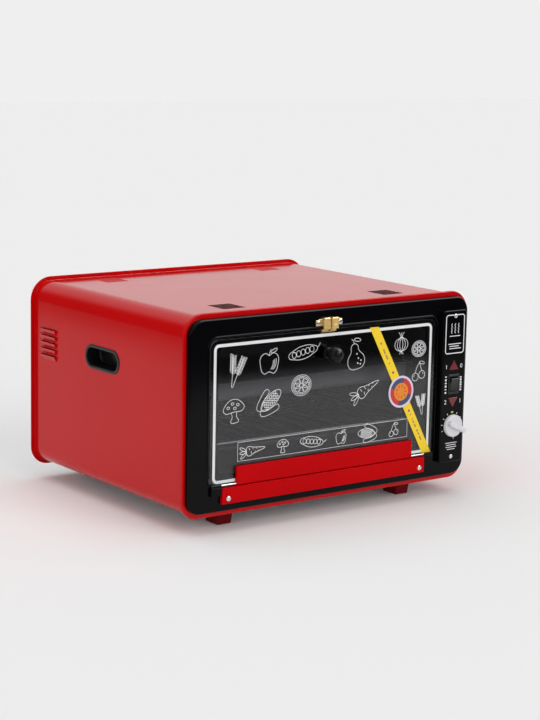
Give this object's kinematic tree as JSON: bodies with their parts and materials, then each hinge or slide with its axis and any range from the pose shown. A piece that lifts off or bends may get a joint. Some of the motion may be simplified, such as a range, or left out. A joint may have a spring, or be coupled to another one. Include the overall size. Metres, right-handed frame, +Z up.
{
  "type": "mini oven",
  "caption": "Countertop mini oven: red sheet-metal casing, glass drop-down door with knob and brass catch, and a control box with dial, rocker switch and lamps.",
  "frame": {"origin": "middle of the whole footprint, on the floor plane that the feet stand on", "axes": "+X to the right seen from the front, +Y to the back, +Z up; the door faces -Y"},
  "size_m": [0.545, 0.4785, 0.3265],
  "materials": {
    "red_enamel": "gloss baked red paint",
    "red_plastic": "moulded red",
    "black_enamel": "semi-gloss black paint",
    "black_plastic": "moulded black",
    "pale_plastic": "moulded pale grey",
    "red_lens": "clear red plastic",
    "zinc_plate": "zinc-coated sheet",
    "cavity_enamel": "dark grey vitreous enamel",
    "tinted_glass": "dark toughened glass",
    "neon_glass": "clear tube",
    "brass_sheet": "bright rolled brass",
    "chromed_wire": "bright plated wire",
    "bright_screw": "plated screws",
    "steel": "turned steel",
    "heater_sheath": "oxidised heater tube",
    "mineral_blanket": "soft mineral fibre",
    "silicone": "soft silicone",
    "porcelain": "white porcelain",
    "band_paper": "printed paper band"
  },
  "bodies": {
    "oven": {"outer_casing": "red_enamel", "hinge_apron": "red_enamel", "foot_front_left": "red_plastic", "foot_front_right": "red_plastic", "foot_rear_left": "red_plastic", "foot_rear_right": "red_plastic", "front_panel": "black_enamel", "control_box": "black_enamel", "hinge_bracket_left": "black_enamel", "hinge_bracket_right": "black_enamel", "carry_cup_left": "black_plastic", "carry_cup_right": "black_plastic", "rocker_switch_body": "black_plastic", "cable_gland": "black_plastic", "thermostat_body": "black_plastic", "lamp_holders": "black_plastic", "lamp_lens_upper": "red_lens", "lamp_lens_lower": "red_lens", "base_plate": "zinc_plate", "rear_cover": "zinc_plate", "cavity_support": "zinc_plate", "bulb_clips": "zinc_plate", "oven_cavity": "cavity_enamel", "neon_bulbs": "neon_glass", "catch_body": "brass_sheet", "shelf_runner_left": "chromed_wire", "shelf_runner_right": "chromed_wire", "catch_screws": "bright_screw", "apron_screws": "bright_screw", "control_box_screws": "bright_screw", "hinge_rod": "steel", "thermostat_screws": "steel", "foot_screws": "steel", "rear_cover_screws": "steel", "thermostat_bulb": "steel", "lower_heating_element": "heater_sheath", "upper_heating_element": "heater_sheath", "insulation_blanket": "mineral_blanket", "insulation_rear": "mineral_blanket", "wiring_harness": "silicone", "terminal_block": "porcelain"},
    "door": {"door_glass": "tinted_glass", "clamp_strip": "red_enamel", "clamp_packing": "silicone", "door_knob": "black_plastic", "knob_washer": "silicone", "knob_screw": "steel", "strike_clip": "brass_sheet", "paper_band": "band_paper", "band_disc": "band_paper"},
    "rack": {"wire_rack": "chromed_wire"},
    "tray": {"baking_tray": "cavity_enamel"},
    "dial": {"thermostat_shaft": "steel", "thermostat_knob": "pale_plastic"},
    "rocker": {"rocker_button": "black_plastic"}
  },
  "joints": [
    {"name": "door_hinge", "type": "hinge", "parent": "oven", "child": "door", "pos_m": [-0.015, -0.2118, 0.0717], "axis": [1, 0, 0], "range_deg": [0, 90]},
    {"name": "rack_slide", "type": "slide", "parent": "oven", "child": "rack", "axis": [0, -1, 0], "range_m": [0, 0.02]},
    {"name": "tray_slide", "type": "slide", "parent": "oven", "child": "tray", "axis": [0, -1, 0], "range_m": [0, 0.02]},
    {"name": "dial_turn", "type": "hinge", "parent": "oven", "child": "dial", "pos_m": [0.2278, -0.22075, 0.114], "axis": [0, 1, 0], "range_deg": [-115, 165]},
    {"name": "rocker_tilt", "type": "hinge", "parent": "oven", "child": "rocker", "pos_m": [0.2278, -0.21955, 0.18], "axis": [1, 0, 0], "range_deg": [-18, 0]}
  ]
}
